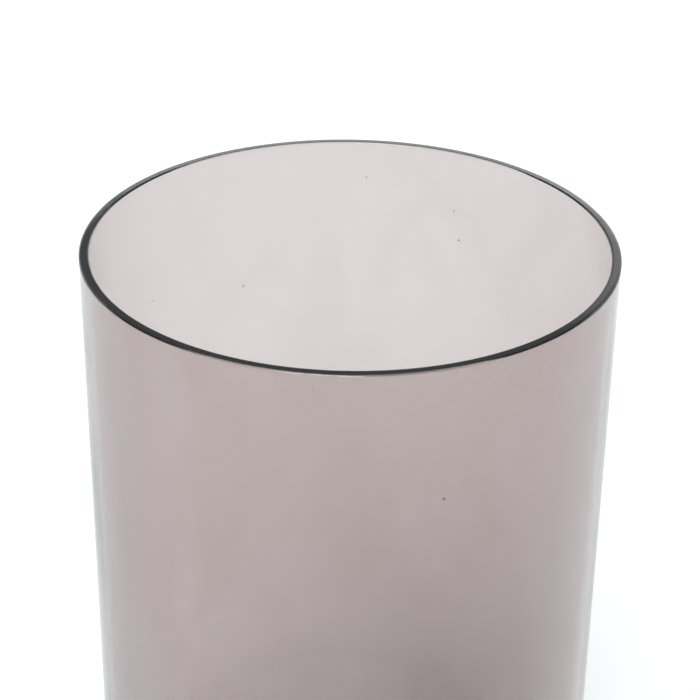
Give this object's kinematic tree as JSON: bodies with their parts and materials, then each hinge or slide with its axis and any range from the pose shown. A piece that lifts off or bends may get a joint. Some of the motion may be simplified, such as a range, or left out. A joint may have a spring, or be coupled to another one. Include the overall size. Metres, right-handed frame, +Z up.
{
  "type": "glass cylinder vase",
  "caption": "Tall straight-sided round glass vase with an open top, a flat-ground rim and a thick rounded base.",
  "frame": {"origin": "centre of the circle the vase stands on", "axes": "+Z up along the vase's axis of symmetry; the vase is round, so +X and +Y are any two horizontal directions"},
  "size_m": [0.2, 0.2, 0.4],
  "materials": {
    "wall_glass": "polished, slightly grey glass with flat-ground rim",
    "base_glass": "polished, the same glass as the wall, thicker"
  },
  "bodies": {
    "root": {"glass_cylinder_wall": "wall_glass", "glass_base": "base_glass"}
  },
  "joints": []
}
